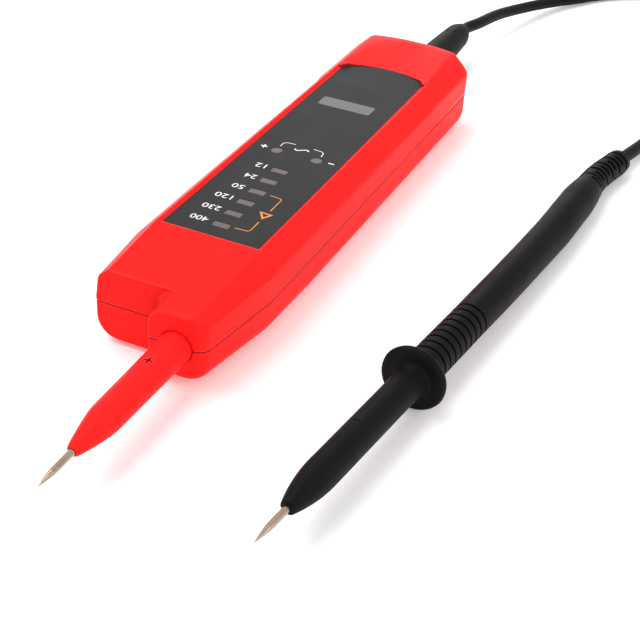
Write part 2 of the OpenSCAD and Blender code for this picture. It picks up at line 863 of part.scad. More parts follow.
module probe_barrel() {
    y1 = -nose_len - barrel_len;
    y2 = y1 + nose_taper;
    n = 10;
    profile = concat(
        [[0, barrel_tail_y], [0, y1], [tip_collar_r - nose_edge, y1], [tip_collar_r, y1 + nose_edge]],
        [for (i = [n - 1 : -1 : 0]) let (t = i / n)
            [nose_radius(t, barrel_waist_r, tip_collar_r, 1.35), y2 - t * nose_taper]],
        [[barrel_r, -nose_len],
         [barrel_r, seal_y - seal_t / 2], [barrel_r - seal_t, seal_y - seal_t / 2],
         [barrel_r - seal_t, seal_y + seal_t / 2], [barrel_r, seal_y + seal_t / 2],
         [barrel_r, collar_y], [collar_r, collar_y], [collar_r, collar_y + collar_t],
         [barrel_r, collar_y + collar_t], [barrel_r, barrel_tail_y]]);
    color(red)
    placed()
    along_y(barrel_x, 0, split_z)
        difference() {
            rotate_extrude($fn = 64) polygon(profile);
            translate([0, 0, y1 - 1]) cylinder(r = tip_r + tip_fit, h = -y1 + 1, $fn = 32);
        }
}

module barrel_seal() {
    inner = barrel_r - seal_t + seal_fit;
    outer = barrel_r + barrel_fit - seal_fit;
    m = (inner + outer) / 2;
    color(black)
    placed()
    along_y(barrel_x, seal_y, split_z)
        rotate_extrude($fn = 48)
            translate([m, 0])
            scale([(outer - inner) / seal_t, 0.96])
            circle(r = seal_t / 2, $fn = 16);
}

// Rod with a slim point, from its point at local z = 0 to its tail
module tip_rod(length) {
    rotate_extrude($fn = 32)
        polygon([[0, 0], [0.08, 0.05], [tip_r * 0.4, point_len * 0.28],
                 [tip_r * 0.68, point_len * 0.6], [tip_r * 0.93, point_len * 0.9],
                 [tip_r, point_len * 1.15], [tip_r, length], [0, length]]);
}

module probe_tip() {
    y0 = -nose_len - barrel_len - tip_len;
    color(steel)
    placed()
    along_y(barrel_x, y0, split_z)
        tip_rod(tip_tail_y - y0);
}

// Tube swept along a smooth curve through route points

function curve_at(a, b, c, d, t) =
    0.5 * (2 * b + (c - a) * t + (2 * a - 5 * b + 4 * c - d) * t * t
           + (3 * b - a - 3 * c + d) * t * t * t);
function curve(p, n) =
    let (m = len(p) - 1)
    concat([for (i = [0 : m - 1]) for (j = [0 : n - 1])
                curve_at(p[max(0, i - 1)], p[i], p[i + 1], p[min(m, i + 2)], j / n)],
           [p[m]]);

module tube(route, r, sides, steps) {
    c = curve(route, steps);
    m = len(c) - 1;
    rings = [for (i = [0 : m])
        let (t = unit(c[min(m, i + 1)] - c[max(0, i - 1)]),
             s = unit(cross(t, [0, 0, 1])),
             u = cross(s, t))
        [for (k = [0 : sides - 1]) let (a = 360 * (k + 0.5) / sides)
            c[i] + r * cos(a) * s + r * sin(a) * u]];
    loft(rings, c[0], c[m]);
}

module tip_wire() {
    z = board_top + terminal_h - wire_r;
    color([0.75, 0.1, 0.1])
    placed()
    tube([[barrel_x, tip_tail_y, split_z], [barrel_x, tip_tail_y + 1.5, split_z + 0.3],
          [barrel_x, board_front - 2.4, z - 0.6], [barrel_x, board_front - 0.5, z],
          [barrel_x, tip_terminal_y - terminal_r, z]], wire_r, 8, 3);
}

module inner_wire() {
    z = board_top + terminal_h - wire_r;
    color(black)
    placed()
    tube([[0, boot_tail_y, split_z], [0, boot_tail_y - 6, split_z + 0.6], [0, board_end + 5, z - 1],
          [0, board_end - 1, z], [0, lead_terminal_y + terminal_r, z]], wire_r, 8, 4);
}

// Boot and lead

module cable_boot() {
    y0 = boot_tail_y;
    y1 = boot_wall_y;
    e = boot_end_y;
    color(black)
    placed()
    along_y(0, 0, split_z)
        difference() {
            rotate_extrude($fn = 64)
                polygon(concat(
                    [[0, y0], [4.2, y0], [4.6, y0 + 0.4], [4.6, y1 - boot_collar_t],
                     [boot_collar_r, y1 - boot_collar_t], [boot_collar_r, y1], [boot_r, y1],
                     [boot_r, tail_len], [boot_r - 0.15, tail_len + 8],
                     [(boot_r + boot_end_r) / 2, tail_len + boot_len * 0.5], [boot_end_r, e - 10]],
                    [for (a = [10 : 10 : 50]) [boot_end_r * cos(a), e - 10 + 10 * sin(a)]],
                    [[lead_r + 0.7, e - 0.9], [lead_r + 0.4, e - 0.2],
                     [lead_r + 0.2, e], [0, e]]));
            translate([0, 0, e - lead_sink])
                cylinder(r = lead_r, h = lead_sink + 1, $fn = 48);
        }
}

module lead() {
    color(black)
    tube(lead_route, lead_r, lead_sides, lead_steps);
}

module lead_return() {
    color(black)
    tube(return_route, lead_r, lead_sides, lead_steps);
}

module lead_coil() {
    h = coil_turns_w * lead_d;
    r = lead_r;
    color(black)
    translate([coil_at[0], coil_at[1], 0])
        rotate_extrude($fn = 64)
            translate([coil_r - h / 2, 0])
            polygon(concat(arc([r, r], r, 180, 270, 3), arc([h - r, r], r, 270, 360, 3),
                           arc([h - r, h - r], r, 0, 90, 3), arc([r, h - r], r, 90, 180, 3)));
}

// Black probe

module probe_placed() {
    placed()
    translate(guard_at)
        rotate([-90 - probe_dip, 0, -probe_yaw])
        children();
}

// Distance behind the guard, radius and sideways sag of the handle
handle_stations = [[grip_end, 5.5, 0], [46, 5.62, 0], [60, 5.68, 0], [80, 5.76, -0.2],
                   [97, handle_r, -0.5], [106, handle_r, -1], [112, handle_r, -1.4],
                   [119, handle_r, -1.8], [122, handle_r, -2], [125, 5.72, -2.15], [128, 5.52, -2.3],
                   [131, 5.2, -2.5], [relief_start, 4.95, -2.66], [137, 4.66, -3.05], [142, 4.58, -3.14],
                   [148, 4.55, -2.74], [154, 4.55, -2], [157.5, 4.5, -1.65],
                   [159.3, 4.3, -1.5], [160.2, 3.85, -1.43], [probe_end, 3.3, -1.4]];
function sag_at(s) = lookup(s, [for (h = handle_stations) [h[0], h[2]]]);

module handle_rear() {
    n = 32;
    rings = [for (h = handle_stations)
        [for (k = [0 : n - 1]) let (a = -360 * k / n) [h[2] + h[1] * cos(a), h[1] * sin(a), h[0]]]];
    loft(rings, [handle_stations[0][2], 0, handle_stations[0][0]], [sag_at(probe_end), 0, probe_end]);
}

module handle_front() {
    y1 = -black_barrel_len;
    y2 = y1 + nose_taper + 1.2;
    g = guard_t / 2;
    n = 10;
    base = ring_r - ring_depth;
    groove = groove_w / 2;
    last = grip_end - groove;
    profile = concat(
        [[0, grip_end + grip_core], [0, y1], [black_nose_r - black_nose_edge, y1],
         [black_nose_r, y1 + black_nose_edge]],
        [for (i = [n - 1 : -1 : 0]) let (t = i / n)
            [nose_radius(t, black_barrel_r, black_nose_r, 1.95), y2 - t * (y2 - y1)]],
        [[black_barrel_r + 0.05, -10], [black_barrel_r + 0.2, -3], [black_barrel_r + 0.7, -g - 0.4],
         [black_barrel_r + 1.3, -g]],
        arc([guard_r - g, 0], g, -90, 90, 6),
        [[ring_r + 0.6, g], [ring_r, g + 0.7]],
        [for (i = [0 : ring_count - 2]) let (y = groove_first + i * ring_pitch)
            each [[ring_r, y - groove], [base, y - groove + 0.1],
                  [base, y + groove - 0.1], [ring_r, y + groove]]],
        [[ring_r, last - groove], [base, last - groove + 0.1], [base, grip_end + grip_core]]);
    rotate_extrude($fn = 56) polygon(profile);
}

// Slot of the strain relief: a slice of a ring outside the core, about a middle angle
module relief_slot(middle_angle, half) {
    a0 = middle_angle - half;
    a1 = middle_angle + half;
    linear_extrude(slot_w)
        polygon(concat(arc([0, 0], slot_core_r, a0, a1, 6), arc([0, 0], 2 * slot_core_r, a1, a0, 4)));
}

// Levels with four short slots alternate with levels with two long ones
module relief_slots() {
    for (i = [0 : slot_count - 1]) {
        s = slot_first + i * slot_pitch;
        translate([sag_at(s), 0, s - slot_w / 2])
            if (i % 2 == 0)
                for (k = [0 : 3])
                    relief_slot(slot_turn + 15 + 90 * k, short_slot);
            else
                for (k = [0, 1])
                    relief_slot(slot_turn + 180 * k, long_slot);
    }
}

module black_probe_handle() {
    color(black)
    probe_placed()
        difference() {
            union() {
                handle_front();
                handle_rear();
            }
            translate([0, 0, -black_barrel_len - 1])
                cylinder(r = tip_r + tip_fit, h = black_barrel_len - tip_socket + 1, $fn = 32);
            relief_slots();
            translate([sag_at(probe_end - lead_socket), 0, probe_end - lead_socket])
                rotate([0, socket_turn, 0])
                cylinder(r = lead_r + socket_fit, h = lead_socket + 1, $fn = 48);
        }
}

module black_probe_tip() {
    color(steel)
    probe_placed()
        translate([0, 0, -black_barrel_len - tip_len])
        tip_rod(tip_len + black_barrel_len - tip_socket);
}

upper_shell();
lower_shell();
front_panel();
bar_light_guides();
dot_light_guides();
bar_leds();
dot_leds();
circuit_board();
input_resistors();
rectifier_diodes();
filter_capacitor();
control_chip();
driver_transistors();
wire_terminals();
housing_screws();
probe_barrel();
barrel_seal();
probe_tip();
tip_wire();
cable_boot();
inner_wire();
lead();
lead_coil();
lead_return();
black_probe_handle();
black_probe_tip();
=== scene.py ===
"""Two-pole voltage tester: a red housing with a fixed probe, a limp lead and a black hand probe, on a pale floor.

Places are millimetres in the part's own frame: the origin is the centre of the housing's flat back, +Z is up,
the probe tips point to -Y and the black probe lies at +X.
"""

import logging
import math
from dataclasses import dataclass
from enum import Enum
from typing import Any, Optional, Sequence

import bpy
from mathutils import Matrix, Vector


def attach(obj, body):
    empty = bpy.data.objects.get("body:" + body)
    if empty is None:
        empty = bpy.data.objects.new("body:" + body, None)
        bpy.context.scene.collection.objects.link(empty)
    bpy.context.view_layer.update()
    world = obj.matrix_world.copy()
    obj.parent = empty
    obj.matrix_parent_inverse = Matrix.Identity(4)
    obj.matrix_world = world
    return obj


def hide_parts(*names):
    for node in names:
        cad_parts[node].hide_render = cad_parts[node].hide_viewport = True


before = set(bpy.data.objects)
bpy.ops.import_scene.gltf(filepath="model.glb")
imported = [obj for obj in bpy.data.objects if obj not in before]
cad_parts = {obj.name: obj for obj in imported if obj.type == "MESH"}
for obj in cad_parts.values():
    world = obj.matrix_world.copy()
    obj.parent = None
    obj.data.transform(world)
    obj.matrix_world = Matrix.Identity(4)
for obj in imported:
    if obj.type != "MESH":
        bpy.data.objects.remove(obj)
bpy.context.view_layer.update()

LOG = logging.getLogger("tester")
MM = 0.001
RAYS = 8  # samples of each node that looks round a spot
Point = tuple[float, float, float]
Place = tuple[float, float]


class Grain(Enum):
    """Real sizes of the surface patterns, in millimetres."""

    SPARK = 0.45  # pebbles of an eroded mould, drawn about three times too coarse so that they show
    FILM = 0.3  # matt back-printed film
    TURNED = 0.09  # feed marks of a turned rod
    JACKET = 0.5  # extruded cable jacket
    SMUDGE = 14.0  # faint handling marks
    CLOUD = 38.0  # slow drift of the pigment


# ---- Small tools of the modeller


def linear(colour: str) -> tuple[float, float, float, float]:
    """Turns an sRGB hex colour to linear.

    Args:
        colour: "#RRGGBB".

    Returns:
        Red, green, blue and alpha.
    """
    values = [int(colour[i : i + 2], 16) / 255 for i in (1, 3, 5)]
    rgb = [v / 12.92 if v <= 0.04045 else ((v + 0.055) / 1.055) ** 2.4 for v in values]
    return rgb[0], rgb[1], rgb[2], 1.0


def per_metre(size_mm: float) -> float:
    """Texture scale at which one feature has the given size.

    Args:
        size_mm: Feature size in millimetres.

    Returns:
        Scale for a texture that reads object coordinates in metres.
    """
    return 1 / (size_mm * MM)


def deselect() -> None:
    """Leaves edit mode and deselects every object."""
    if bpy.context.object and bpy.context.object.mode != "OBJECT":
        bpy.ops.object.mode_set(mode="OBJECT")
    bpy.ops.object.select_all(action="DESELECT")


def take(piece: bpy.types.Object) -> bpy.types.Object:
    """Makes one object the only selected and active one.

    Args:
        piece: The object.

    Returns:
        The same object.
    """
    deselect()
    piece.select_set(True)
    bpy.context.view_layer.objects.active = piece
    return piece


def apply_modifier(piece: bpy.types.Object, kind: str, **settings: Any) -> None:
    """Adds a modifier and applies it at once.

    Args:
        piece: Mesh object.
        kind: Modifier type.
        settings: Values of the modifier.
    """
    take(piece)
    modifier = piece.modifiers.new(kind.title(), kind)
    for key, value in settings.items():
        setattr(modifier, key, value)
    bpy.ops.object.modifier_apply(modifier=modifier.name)


def bake_place(piece: bpy.types.Object) -> None:
    """Moves the object's place into its mesh, so that the object sits at the origin.

    Args:
        piece: Mesh object.
    """
    piece.data.transform(piece.matrix_basis)
    piece.matrix_basis = Matrix.Identity(4)


def join(pieces: Sequence[bpy.types.Object], name: str) -> bpy.types.Object:
    """Joins mesh objects to one.

    Args:
        pieces: The objects, of which the first stays.
        name: Name of the joined object.

    Returns:
        The joined object.
    """
    for piece in pieces:
        bake_place(piece)
    take(pieces[0])
    for piece in pieces:
        piece.select_set(True)
    bpy.ops.object.join()
    pieces[0].name = name
    return pieces[0]


def finish_piece(piece: bpy.types.Object, material: bpy.types.Material, angle: float = 30) -> None:
    """Shades a piece, dresses it and lets it ride on the body.

    Args:
        piece: Mesh object with its place in its mesh.
        material: Its only material.
        angle: Edges flatter than this many degrees are shaded smooth.
    """
    take(piece)
    bpy.ops.object.shade_smooth_by_angle(angle=math.radians(angle), keep_sharp_edges=False)
    piece.data.materials.clear()
    piece.data.materials.append(material)
    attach(piece, "root")
    deselect()
    LOG.info("%s: %d faces", piece.name, len(piece.data.polygons))


def standing_for(node: str, name: str) -> bpy.types.Object:
    """Merged copy of a CAD node's mesh that stands for the node.

    Args:
        node: Name of the CAD node.
        name: Name of the new piece.

    Returns:
        The new object, with flat faces dissolved to whole ones.
    """
    piece = bpy.data.objects.new(name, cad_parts[node].data.copy())
    bpy.context.scene.collection.objects.link(piece)
    take(piece)
    bpy.ops.mesh.customdata_custom_splitnormals_clear()
    bpy.ops.object.mode_set(mode="EDIT")
    bpy.ops.mesh.select_all(action="SELECT")
    bpy.ops.mesh.remove_doubles(threshold=0.002 * MM)
    bpy.ops.mesh.dissolve_limited(angle_limit=math.radians(0.3))
    bpy.ops.object.mode_set(mode="OBJECT")
    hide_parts(node)
    return piece


def add_node(tree: bpy.types.NodeTree, kind: str, settings: Optional[dict] = None,
             links: Optional[dict] = None) -> Any:
    """Adds one node with its settings and links.

    Args:
        tree: The material's tree.
        kind: Node type.
        settings: Values by property or socket.
        links: Output sockets by input socket.

    Returns:
        The node.
    """
    node = tree.nodes.new(kind)
    for key, value in (settings or {}).items():
        if isinstance(key, str) and hasattr(node, key):
            setattr(node, key, value)
        else:
            node.inputs[key].default_value = value
    for key, socket in (links or {}).items():
        tree.links.new(socket, node.inputs[key])
    return node


# ---- Finishes


@dataclass(frozen=True)
class Finish:
    """A surface from one process: two close colours, a sheen that varies, a grain in relief, and shade painted into
    gaps and nooks.
    """

    name: str
    slot: str
    light: str
    dark: str
    rough_low: float
    rough_high: float
    ior: float = 1.5
    shine: float = 0.5
    grain_mm: float = Grain.SPARK.value
    relief_mm: float = 0.008
    cloud_mm: float = Grain.CLOUD.value
    cloud_stretch: Point = (1.0, 1.0, 1.0)
    stretch: Point = (1.0, 1.0, 1.0)
    metallic: float = 0.0
    # Painted shade: how far and how deeply the colour darkens near close surfaces (gaps) and in deep corners (nooks)
    gap_shade_mm: float = 0.9
    gap_shade_tone: float = 0.35
    nook_shade_mm: float = 9.0
    nook_shade_tone: float = 1.0
    edge_mm: float = 0.0
    rear_edge_mm: float = 0.0
    rear_run_mm: Place = (70.0, 86.0)
    edge_shine: float = 0.25

    def build(self) -> bpy.types.Material:
        """Makes the material.

        Returns:
            The material, with a Principled shader.
        """
        material = bpy.data.materials.new(self.name)
        material.use_nodes = True
        tree = material.node_tree
        shader = tree.nodes["Principled BSDF"]
        shader.inputs["IOR"].default_value = self.ior
        shader.inputs["Specular IOR Level"].default_value = self.shine
        shader.inputs["Metallic"].default_value = self.metallic
        place = add_node(tree, "ShaderNodeTexCoord").outputs["Object"]
        hidden = add_node(tree, "ShaderNodeAmbientOcclusion", {"samples": RAYS, "Distance": self.gap_shade_mm * MM})
        shaded = self.pigment(tree, place, hidden)
        sheen = self.sheen(tree, place)
        relief = self.relief(tree, place)
        if self.edge_mm > 0:
            self.soften(tree, place, hidden, relief)
        tree.links.new(shaded.outputs[2], shader.inputs["Base Color"])
        tree.links.new(sheen.outputs["Result"], shader.inputs["Roughness"])
        tree.links.new(relief.outputs["Normal"], shader.inputs["Normal"])
        return material

    def pigment(self, tree: bpy.types.NodeTree, place: Any, hidden: Any) -> Any:
        """Colour that drifts slowly, with shade painted into gaps and nooks.

        Args:
            tree: The material's tree.
            place: Socket with the object coordinates.
            hidden: Node that measures how hidden a spot is.

        Returns:
            The node whose third output is the colour.
        """
        drawn = add_node(tree, "ShaderNodeMapping", {"Scale": self.cloud_stretch}, {"Vector": place})
        cloud = add_node(
            tree, "ShaderNodeTexNoise", {"Scale": per_metre(self.cloud_mm), "Detail": 3.0, "Roughness": 0.55},
            {"Vector": drawn.outputs["Vector"]},
        )
        colour = add_node(
            tree, "ShaderNodeMix", {"data_type": "RGBA", 6: linear(self.dark), 7: linear(self.light)},
            {0: cloud.outputs["Fac"]},
        )
        # Painted shade: the colour darkens where other surfaces are close, and again in deep corners; both are
        # multiplied into it
        gap_shade_factor = add_node(
            tree, "ShaderNodeMapRange",
            {"From Min": 0.15, "From Max": 0.6, "To Min": self.gap_shade_tone, "To Max": 1.0},
            {"Value": hidden.outputs["AO"]},
        )
        nook = add_node(
            tree, "ShaderNodeAmbientOcclusion", {"samples": RAYS, "only_local": True, "Distance": self.nook_shade_mm * MM},
        )
        nook_shade_factor = add_node(
            tree, "ShaderNodeMapRange",
            {"From Min": 0.4, "From Max": 0.92, "To Min": self.nook_shade_tone, "To Max": 1.0},
            {"Value": nook.outputs["AO"]},
        )
        depth = add_node(
            tree, "ShaderNodeMath", {"operation": "MULTIPLY"},
            {0: gap_shade_factor.outputs["Result"], 1: nook_shade_factor.outputs["Result"]},
        )
        return add_node(
            tree, "ShaderNodeMix", {"data_type": "RGBA", "blend_type": "MULTIPLY", 0: 1.0},
            {6: colour.outputs[2], 7: depth.outputs["Value"]},
        )

    def sheen(self, tree: bpy.types.NodeTree, place: Any) -> Any:
        """Roughness that varies as handling leaves it.

        Args:
            tree: The material's tree.
            place: Socket with the object coordinates.

        Returns:
            The node whose result is the roughness.
        """
        smudge = add_node(
            tree, "ShaderNodeTexNoise",
            {"Scale": per_metre(Grain.SMUDGE.value), "Detail": 4.0, "Roughness": 0.6, "Distortion": 0.6},
            {"Vector": place},
        )
        return add_node(
            tree, "ShaderNodeMapRange",
            {"From Min": 0.3, "From Max": 0.7, "To Min": self.rough_low, "To Max": self.rough_high},
            {"Value": smudge.outputs["Fac"]},
        )

    def relief(self, tree: bpy.types.NodeTree, place: Any) -> Any:
        """Fine grain of the process, as a bump.

        Args:
            tree: The material's tree.
            place: Socket with the object coordinates.

        Returns:
            The bump node.
        """
        laid = add_node(tree, "ShaderNodeMapping", {"Scale": self.stretch}, {"Vector": place})
        grain = add_node(
            tree, "ShaderNodeTexNoise", {"Scale": per_metre(self.grain_mm), "Detail": 2.0, "Roughness": 0.5},
            {"Vector": laid.outputs["Vector"]},
        )
        return add_node(
            tree, "ShaderNodeBump", {"Strength": 1.0, "Distance": self.relief_mm * MM},
            {"Height": grain.outputs["Fac"]},
        )

    def soften(self, tree: bpy.types.NodeTree, place: Any, hidden: Any, relief: Any) -> None:
        """Rounds the creases, more at the rear cap, and lets open ones catch the light.

        Args:
            tree: The material's tree.
            place: Socket with the object coordinates.
            hidden: Node that measures how hidden a spot is.
            relief: Bump node, which takes the rounded normal.
        """
        parts = add_node(tree, "ShaderNodeSeparateXYZ", links={"Vector": place})
        rear_from, rear_to = self.rear_run_mm
        radius = add_node(
            tree, "ShaderNodeMapRange",
            {"From Min": rear_from * MM, "From Max": rear_to * MM,
             "To Min": self.edge_mm * MM, "To Max": self.rear_edge_mm * MM},
            {"Value": parts.outputs["Y"]},
        )
        edge = add_node(tree, "ShaderNodeBevel", {"samples": RAYS}, {"Radius": radius.outputs["Result"]})
        tree.links.new(edge.outputs["Normal"], relief.inputs["Normal"])
        surface = add_node(tree, "ShaderNodeNewGeometry")
        agreement = add_node(
            tree, "ShaderNodeVectorMath", {"operation": "DOT_PRODUCT"},
            {0: edge.outputs["Normal"], 1: surface.outputs["Normal"]},
        )
        crease = add_node(
            tree, "ShaderNodeMapRange", {"From Min": 0.995, "From Max": 0.9},
            {"Value": agreement.outputs["Value"]},
        )
        bare = add_node(
            tree, "ShaderNodeMapRange", {"From Min": 0.75, "From Max": 0.97}, {"Value": hidden.outputs["AO"]},
        )
        lit = add_node(
            tree, "ShaderNodeMath", {"operation": "MULTIPLY"},
            {0: crease.outputs["Result"], 1: bare.outputs["Result"]},
        )
        glint = add_node(
            tree, "ShaderNodeMix", {2: self.shine, 3: self.edge_shine}, {0: lit.outputs["Value"]},
        )
        tree.links.new(glint.outputs[0], tree.nodes["Principled BSDF"].inputs["Specular IOR Level"])


# Glossy ABS from a lightly eroded mould: saturated, satin, with soft highlights along the creases, and shade painted
# deep into its seams and inner corners
RED_ABS = Finish("red ABS, moulded satin", "red_abs", "#FB2624", "#F42221", 0.3, 0.38, ior=1.53,
                 shine=0.025, nook_shade_tone=0.3, gap_shade_tone=0.45, edge_mm=0.6, rear_edge_mm=3.0, relief_mm=0.006)
# Polycarbonate film, printed on its back: an even matt grey that takes no highlight, with dark shade painted along
# its edges in the recess
GREY_FILM = Finish("polycarbonate film, printed grey", "panel_film", "#2F2F30", "#2B2B2D", 0.5, 0.58, ior=1.58,
                   shine=0.08, grain_mm=Grain.FILM.value, relief_mm=0.004, gap_shade_mm=1.8, gap_shade_tone=0.2)
# Smoked acrylic windows over the lamps: dull and brownish, their colour painted a little lighter as a glow from
# within
SMOKED_ACRYLIC = Finish("acrylic, smoked and moulded", "smoky_window", "#675657", "#5E5051", 0.32, 0.42, ior=1.49,
                        shine=0.3, cloud_mm=2.2, relief_mm=0.004)
# Screen inks: a thin dry layer, opaque and matt
WHITE_INK = Finish("screen ink, white", "panel_film", "#F2F2F2", "#E6E6E6", 0.55, 0.65, cloud_mm=1.5,
                   relief_mm=0.003)
ORANGE_INK = Finish("screen ink, orange", "panel_film", "#DC9433", "#D08A2E", 0.55, 0.65, cloud_mm=1.5,
                    relief_mm=0.003)
PLATE_INK = Finish("screen ink, light grey", "panel_film", "#6C6C6E", "#666668", 0.55, 0.65, cloud_mm=6,
                   relief_mm=0.003)
# Thermoplastic elastomer over the black probe: dark, dry and finely grained
BLACK_TPE = Finish("thermoplastic elastomer, moulded", "black_moulding", "#141414", "#101010", 0.45, 0.55, ior=1.5,
                   shine=0.06, relief_mm=0.012)
# Extruded jacket of the lead: a little smoother than the grips
BLACK_PVC = Finish("PVC jacket, extruded", "black_insulation", "#141413", "#101010", 0.42, 0.52, ior=1.53,
                   shine=0.06, grain_mm=Grain.JACKET.value, relief_mm=0.006)
# Nickel-plated brass, turned: warm grey streaks along the rod, light and dark, that are a painted reflection of the
# studio, and fine feed marks round it
PLATED_BRASS = Finish("brass, turned and nickel plated", "tip_metal", "#D6C6B2", "#7C6A55", 0.18, 0.28,
                      grain_mm=Grain.TURNED.value, relief_mm=0.002, stretch=(0.02, 1, 0.02), cloud_mm=0.9,
                      cloud_stretch=(1, 0.05, 1), metallic=1)
# Soft PVC of the boot: the same black as the lead, a little drier
SOFT_BLACK = Finish("PVC, soft and moulded", "black_insulation", "#181817", "#141413", 0.45, 0.55, ior=1.53,
                    shine=0.06, relief_mm=0.01)
# Pieces inside the housing and at its back
INNER = {
    "bar_leds": Finish("epoxy, cast clear", "led_body", "#D8D2BE", "#CFC8B2", 0.15, 0.25, ior=1.5, cloud_mm=1.5),
    "dot_leds": Finish("epoxy, cast clear, round lamps", "led_body", "#DAD4C2", "#D0CAB6", 0.15, 0.25, cloud_mm=1.5),
    "circuit_board": Finish("glass-fibre laminate, solder mask", "board", "#1D5A34", "#184C2C", 0.25, 0.38, ior=1.55,
                            grain_mm=0.6, cloud_mm=12),
    "input_resistors": Finish("lacquer, dipped", "resistor_body", "#C09A62", "#B08A55", 0.25, 0.35, cloud_mm=2),
    "rectifier_diodes": Finish("epoxy, transfer moulded", "moulding_compound", "#262626", "#1F1F1F", 0.5, 0.6),
    "filter_capacitor": Finish("sleeve, heat shrunk", "capacitor_sleeve", "#22305E", "#1C284F", 0.25, 0.32),
    "control_chip": Finish("epoxy, transfer moulded, chip", "moulding_compound", "#242424", "#1D1D1D", 0.5, 0.6),
    "driver_transistors": Finish("epoxy, moulded, small", "moulding_compound", "#262626", "#1E1E1E", 0.5, 0.6),
    "wire_terminals": Finish("brass, turned and tinned", "terminal_metal", "#D9B66C", "#CFAA60", 0.25, 0.35,
                             grain_mm=Grain.TURNED.value, relief_mm=0.002, metallic=1),
    "housing_screws": Finish("steel, zinc plated", "screw_steel", "#B4B4B8", "#A2A2A8", 0.25, 0.4,
                             grain_mm=0.25, relief_mm=0.003, cloud_mm=1.5, metallic=1),
    "barrel_seal": Finish("nitrile rubber, moulded", "seal_rubber", "#1B1B1B", "#161616", 0.55, 0.65),
    "tip_wire": Finish("PVC, soft, red", "red_insulation", "#B21F1E", "#A51B1B", 0.4, 0.5, ior=1.53),
    "inner_wire": Finish("PVC, soft, black", "black_insulation", "#1E1E1E", "#181818", 0.4, 0.5, ior=1.53),
}


# ---- Studio


@dataclass(frozen=True)
class Softbox:
    """A square lamp: its place and aim in metres, its side in metres and its power in watts."""

    name: str
    at: Point
    aim: Point
    side: float
    watts: float

    def build(self) -> None:
        """Hangs the lamp."""
        deselect()
        bpy.ops.object.light_add(type="AREA", location=self.at)
        lamp = bpy.context.object
        lamp.name = self.name
        lamp.data.shape = "SQUARE"
        lamp.data.size = self.side
        lamp.data.energy = self.watts
        lamp.rotation_euler = (Vector(self.aim) - Vector(self.at)).to_track_quat("-Z", "Y").to_euler()


@dataclass
class Studio:
    """Camera, pale floor and soft lights."""

    camera_at: Point = (165.97, -358.98, 233.32)
    turn_deg: float = 23.64
    lift_deg: float = 34.56
    roll_deg: float = 3.15
    lens_mm: float = 78.75
    floor_side: float = 6.0
    floor_glow: float = 0.16
    sky: float = 0.78
    softboxes: Sequence[Softbox] = (
        Softbox("key softbox", (-0.4, -0.05, 1.0), (0, 0, 0), 0.7, 7.2),
        Softbox("front softbox", (0.95, -0.75, 0.45), (0.02, 0, 0), 0.35, 1.3),
        Softbox("side softbox", (0.9, 0.15, 0.5), (0, 0, 0), 0.5, 1.3),
        Softbox("rear softbox", (-0.45, 1.15, 0.42), (0, 0, 0), 0.5, 1.6))

    def camera(self) -> None:
        """Places the camera at the photograph's viewing angle."""
        a, e, r = (math.radians(v) for v in (self.turn_deg, self.lift_deg, self.roll_deg))
        back = Vector((math.sin(a) * math.cos(e), -math.cos(a) * math.cos(e), math.sin(e)))
        right = Vector((math.cos(a), math.sin(a), 0))
        up = back.cross(right)
        across = math.cos(r) * right + math.sin(r) * up
        above = -math.sin(r) * right + math.cos(r) * up
        deselect()
        bpy.ops.object.camera_add()
        camera = bpy.context.object
        camera.name = "camera"
        camera.matrix_world = Matrix.Translation(Vector(self.camera_at) * MM) @ Matrix(
            (across, above, back)).transposed().to_4x4()
        camera.data.sensor_width = 36
        camera.data.lens = self.lens_mm
        camera.data.clip_start = 0.01
        camera.data.clip_end = 20
        bpy.context.scene.camera = camera

    def floor(self) -> None:
        """Lays a pale, even floor."""
        deselect()
        bpy.ops.mesh.primitive_plane_add(size=self.floor_side, location=(0, 0, 0))
        plane = bpy.context.object
        plane.name = "floor"
        material = bpy.data.materials.new("paper, matt white")
        material.use_nodes = True
        tree = material.node_tree
        shader = tree.nodes["Principled BSDF"]
        shader.inputs["Roughness"].default_value = 0.9
        shader.inputs["Specular IOR Level"].default_value = 0.2
        place = add_node(tree, "ShaderNodeTexCoord").outputs["Object"]
        tone = add_node(tree, "ShaderNodeTexNoise", {"Scale": 6.0, "Detail": 2.0}, {"Vector": place})
        mix = add_node(tree, "ShaderNodeMix",
                       {"data_type": "RGBA", 6: linear("#F9F9F9"), 7: linear("#FBFBFB")}, {0: tone.outputs["Fac"]})
        tree.links.new(mix.outputs[2], shader.inputs["Base Color"])
        shader.inputs["Emission Color"].default_value = (1, 1, 1, 1)
        shader.inputs["Emission Strength"].default_value = self.floor_glow
        plane.data.materials.append(material)

    def light(self) -> None:
        """Sets the soft sky and the softboxes."""
        world = bpy.data.worlds.new("soft sky")
        world.use_nodes = True
        world.node_tree.nodes["Background"].inputs["Color"].default_value = (1, 1, 1, 1)
        world.node_tree.nodes["Background"].inputs["Strength"].default_value = self.sky
        bpy.context.scene.world = world
        bpy.context.scene.view_settings.view_transform = "Standard"
        for softbox in self.softboxes:
            softbox.build()

    def build(self) -> None:
        """Makes the whole studio."""
        self.camera()
        self.floor()
        self.light()


# ---- Lead


